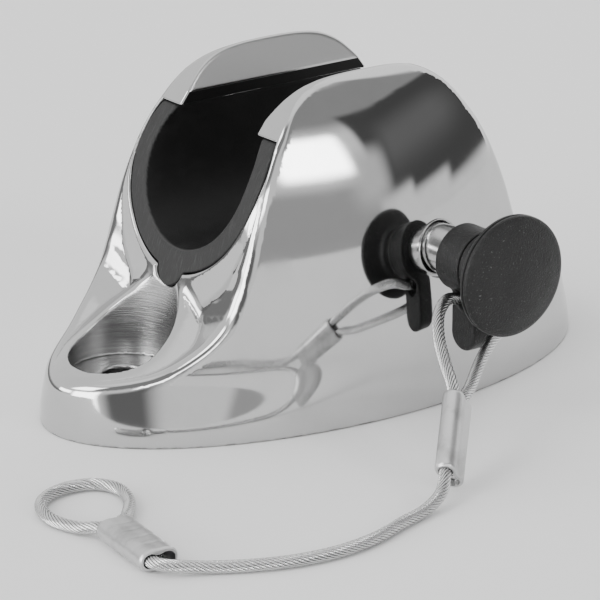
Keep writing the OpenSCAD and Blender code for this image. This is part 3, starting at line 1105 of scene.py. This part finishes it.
@dataclass
class Ferrule:
    """Flat oval sleeve pressed round two strands."""

    name: str
    node: str
    top: Point
    turn: Point
    roll: float
    press: Press
    length: float = 18.0
    half_gap: float = 1.8
    outer_r: float = 2.25
    inner_r: float = 1.35
    sides: int = 48

    def ring(self, radius: float, z: float, pinch: float, nip: float) -> Array:
        """One ring of the sleeve.

        Args:
            radius: of its two round sides.
            z: place along the sleeve.
            pinch: share by which the middle is drawn in.
            nip: depth of a press mark on the flat sides.

        Returns:
            The ring's points.
        """
        a = (np.arange(self.sides) + 0.5) * math.tau / self.sides
        x = radius * np.cos(a) + self.half_gap * np.tanh(2.6 * np.cos(a))
        y = radius * np.sin(a) * (1 - pinch * np.exp(-((x / 0.9) ** 2)))
        y = np.sign(y) * np.maximum(np.abs(y) - nip * np.abs(np.sin(a)), 0.2)
        return np.stack([x, y, np.full_like(x, z)], axis=1)

    def make(self, finish: PressedSleeve) -> Solid:
        """Draws the sleeve ring by ring and dresses it."""
        pinch = 0.2 if self.press is Press.LENGTHWISE else 0.06
        close = np.array([0, 0.06, 0.18, 0.4])
        at = np.concatenate([close, np.linspace(0.8, self.length - 0.8, 42), self.length - close[::-1]])
        ends = np.minimum(at, self.length - at)
        round_off = 0.28 * np.exp(-((ends / 0.22) ** 2))
        nips = np.zeros_like(at)
        if self.press is Press.CROSSWISE:
            for middle in (3.6, 7.2, 10.8, 14.4):
                nips += 0.16 * np.exp(-(((at - middle) / 0.42) ** 2))
        rings = [self.ring(self.outer_r - c, z, pinch, n) for c, z, n in zip(round_off, at, nips)]
        inside = [self.ring(self.inner_r + 0.2 * (e < 0.1), z, 0.35, 0) for z, e in zip(at[::-4], ends[::-4])]
        inside[-1] = self.ring(self.inner_r + 0.2, 0.0, 0.35, 0)
        bm = bmesh.new()
        layer = bm.verts.layers.int.new("place")
        first = bmesh.ops.create_circle(bm, segments=self.sides, radius=1.0)["verts"]
        for k, v in enumerate(first):
            v[layer] = k
        loop, edges = first, list(bm.edges)
        stack = rings + inside
        for k, points in enumerate(stack):
            if k:
                grown = bmesh.ops.extrude_edge_only(bm, edges=edges)["geom"]
                loop = [v for v in grown if isinstance(v, bmesh.types.BMVert)]
                mine = set(loop)
                grown_edges = [e for e in grown if isinstance(e, bmesh.types.BMEdge)]
                edges = [e for e in grown_edges if e.verts[0] in mine and e.verts[1] in mine]
            for v in loop:
                v.co = points[v[layer]]
        bmesh.ops.bridge_loops(bm, edges=[e for e in bm.edges if e.is_boundary])
        turn = [math.radians(t) for t in self.turn]
        place = (
            Matrix.Translation(self.top)
            @ Matrix.Rotation(turn[2], 4, "Z")
            @ Matrix.Rotation(turn[1], 4, "Y")
            @ Matrix.Rotation(turn[0], 4, "X")
            @ Matrix.Rotation(math.radians(self.roll), 4, "Z")
        )
        bmesh.ops.transform(bm, matrix=place, verts=bm.verts)
        bmesh.ops.recalc_face_normals(bm, faces=bm.faces)
        obj = as_object(bm, self.name)
        crisp(obj, 50)
        return fit_out(obj, Rides.LANYARD, finish.make(), "ferrule_metal", self.node)


@dataclass
class Lanyard:
    """Wire rope of twelve wires round a core, on the route from the pin's ferrule to the eye."""

    diameter: float = 0.0025
    wire: float = 0.5
    lay: float = 13.5
    wires: int = 12
    gap: float = 0.55
    sides: int = 8
    route: tuple[Point, ...] = (
        (-0.0204, -0.0717, 0.0031), (-0.0157, -0.067, 0.0077), (-0.0104, -0.0617, 0.0128),
        (-0.0051, -0.058, 0.014), (0.0015, -0.053, 0.0163), (0.0071, -0.0493, 0.018),
        (0.0118, -0.0468, 0.0196), (0.0139, -0.0438, 0.0222), (0.0126, -0.0415, 0.0247),
        (0.009, -0.0412, 0.0253), (0.005, -0.0413, 0.0259), (0.001, -0.043, 0.0268),
        (-0.0036, -0.0462, 0.0256), (-0.0072, -0.0508, 0.0228), (-0.0096, -0.0556, 0.0198),
        (-0.0126, -0.0623, 0.0156), (-0.0178, -0.0675, 0.0105), (-0.0231, -0.0728, 0.0054),
        (-0.0268, -0.076, 0.0028), (-0.0325, -0.0782, 0.0014), (-0.04, -0.0803, 0.0013),
        (-0.048, -0.0829, 0.0013), (-0.057, -0.0839, 0.0013), (-0.066, -0.0826, 0.0013),
        (-0.074, -0.0795, 0.0013), (-0.081, -0.0756, 0.0014), (-0.0864, -0.0726, 0.002),
        (-0.0892, -0.069, 0.0023), (-0.0882, -0.06, 0.0023), (-0.0871, -0.051, 0.0023),
        (-0.0898, -0.0456, 0.0014), (-0.0914, -0.0386, 0.0013), (-0.0886, -0.0312, 0.0013),
        (-0.082, -0.0277, 0.0013), (-0.0754, -0.0289, 0.0013), (-0.0726, -0.034, 0.0013),
        (-0.0746, -0.0406, 0.0013), (-0.0794, -0.0466, 0.0014), (-0.0835, -0.0514, 0.0023),
        (-0.0853, -0.066, 0.0023),
    )

    def rope(self, finish: DrawnWire) -> Solid:
        """Args:
            finish: its finish.

        Returns:
            The rope.
        """
        line = evenly(catmull(self.route, 16) / MM, self.gap)
        _, side, up = frames_along(line)
        far = np.concatenate([[0], np.cumsum(np.linalg.norm(np.diff(line, axis=0), axis=1))])
        reach = self.diameter / MM / 2 - self.wire / 2
        bm = bmesh.new()
        bm.loops.layers.uv.new("UVMap")
        for k in range(self.wires):
            a = (math.tau * (far / self.lay + k / self.wires))[:, None]
            out = np.cos(a) * side + np.sin(a) * up
            middle = line + reach * out
            ahead = unit(np.gradient(middle, axis=0))
            out = unit(out - (out * ahead).sum(1, keepdims=True) * ahead)
            tube(bm, middle, out, np.cross(ahead, out), self.wire / 2, self.sides)
        tube(bm, line, side, up, reach - 0.2, self.sides)
        bmesh.ops.recalc_face_normals(bm, faces=bm.faces)
        obj = as_object(bm, "wire_rope")
        fit_out(obj, Rides.LANYARD, finish.make(), "rope_steel", "lanyard_cable")
        log.info("wire rope: %.1f mm long", far[-1])
        return obj

    def make(self) -> None:
        """Makes both ferrules and the rope through them."""
        metal = PressedSleeve("plated_sleeve", 0.6, 0.26, 1.0)
        pair = [
            Ferrule(
                "pin_end_sleeve", "ferrule_pin_end",
                (-11.5, -62, 14.2), (0, 124.8, -135), 19.4, Press.LENGTHWISE,
            ),
            Ferrule(
                "free_end_sleeve", "ferrule_free_end",
                (-85.3, -51.2, 2.3), (0, 90, -97), 90, Press.CROSSWISE,
            ),
        ]
        sleeves = [f.make(metal) for f in pair]
        self.rope(DrawnWire("drawn_wire", 0.62, 0.18, 1.0))


# ---------------------------------------------------------------- studio


@dataclass(frozen=True)
class Card:
    """A light or dark card in the room: its headings and heights in degrees, and its light."""

    heading: tuple[float, float]
    height: tuple[float, float]
    light: float
    soft: float = 8.0


@dataclass
class Studio:
    """Pale floor, soft light from the room and the camera."""

    room: float = 1.25
    cards: tuple[Card, ...] = (
        Card((-180, 180), (66, 100), 1.6, 10),
        Card((72, 135), (0, 64), 1.7, 8),
        Card((120, 240), (-8, 10), 0.3, 8),
        Card((-12, 27), (-6, 13), 0.55, 4),
        Card((-10, 78), (32, 60), 0.42, 8),
        Card((27, 50), (7.5, 37), 0.1, 3),
        Card((44, 62), (5, 37), 0.1, 3),
        Card((58, 77), (2, 37), 0.1, 3),
        Card((34, 66), (13, 27), 0.2, 12),
        Card((20, 32), (7, 21), 0.9, 8),
        Card((2, 21), (16, 29), 12.0, 4),
        Card((-88, -36), (28, 62), 0.35, 10),
        Card((-66, -38), (-6, 14), 0.2, 12),
        Card((-100, -72), (-6, 22), 9.0, 6),
        Card((-50, -32), (18, 26), 8.0, 4),
        Card((-128, -104), (8, 20), 8.0, 5),
        Card((-112, -84), (32, 52), 8.0, 6),
    )
    azimuth: float = -36.955
    elevation: float = 19.271
    distance: float = 0.78486
    target: Point = (-0.003308, 0.0, 0.015788)
    lens: float = 225.66

    def camera(self) -> None:
        """Places the camera."""
        a, e = math.radians(self.azimuth), math.radians(self.elevation)
        back = Vector((math.sin(a) * math.cos(e), -math.cos(a) * math.cos(e), math.sin(e)))
        data = bpy.data.cameras.new("view")
        data.lens, data.sensor_width = self.lens, 36.0
        data.clip_start, data.clip_end = 0.01, 20
        cam = bpy.data.objects.new("view", data)
        cam.location = Vector(self.target) + back * self.distance
        cam.rotation_mode = "QUATERNION"
        cam.rotation_quaternion = (-back).to_track_quat("-Z", "Y")
        bpy.context.collection.objects.link(cam)
        bpy.context.scene.camera = cam

    def floor(self) -> None:
        """Lays the pale floor."""
        bm = bmesh.new()
        bmesh.ops.create_grid(bm, x_segments=4, y_segments=4, size=3.0)
        obj = as_object(bm, "pale_floor", 1.0)
        m = bpy.data.materials.new("pale_floor")
        m.use_nodes = True
        shader = m.node_tree.nodes["Principled BSDF"]
        shader.inputs["Base Color"].default_value = grey(0.86)
        shader.inputs["Roughness"].default_value = 0.9
        obj.data.materials.append(m)

    def light(self) -> None:
        """Lights the room from all round, with the cards in front of it."""
        world = bpy.data.worlds.new("soft_room")
        bpy.context.scene.world = world
        world.use_nodes = True
        g = Graph(world.node_tree)
        back = world.node_tree.nodes["Background"]
        xyz = g.add("SeparateXYZ", {0: g.add("TexCoord").outputs["Generated"]}).outputs
        front = g.times(xyz[1], -1.0)
        heading = g.times(g.math("ARCTAN2", xyz[0], front), 180 / math.pi)
        height = g.times(g.math("ARCSINE", xyz[2]), 180 / math.pi)
        light = self.room
        for card in self.cards:
            shares = []
            for angle, (low, high) in ((heading, card.heading), (height, card.height)):
                turn = g.math("WRAP", g.math("SUBTRACT", angle, (low + high) / 2), 180.0, -180.0)
                half = (high - low) / 2
                shares.append(g.spread(g.math("ABSOLUTE", turn), half + card.soft / 2, half - card.soft / 2))
            share = g.times(*shares)
            light = g.add("Mix", {0: share, 2: light, 3: card.light}).outputs[0]
        g.join(light, back.inputs["Color"])
        back.inputs["Strength"].default_value = 1.0

    def make(self) -> None:
        """Sets the camera, the floor and the light."""
        self.camera()
        self.floor()
        self.light()
        log.info("studio is set")


def main() -> None:
    """Builds the studio and every sub-assembly in order."""
    Studio().make()
    Lanyard().make()
    pin = LockingPin()
    bright = TurnedSteel("turned_steel", 0.8, 0.1, 1.0)
    black = MouldedPlastic("black_moulding", 0.007, 0.36, 0.0, 0.3)
    pin.shaft(bright)
    pin.ball(bright)
    pin.spring(TurnedSteel("spring_wire", 0.55, 0.25, 1.0))
    pin.knob(black)
    SwivelRing(pin).make(black)
    casting = Casting()
    casting.make(PolishedCasting("polished_casting", 0.54, 0.05, 1.0))
    Liner(casting).make(SoftRubber("channel_rubber", 0.005, 0.55, 0.0, 0.25))


if __name__ == "__main__":
    main()
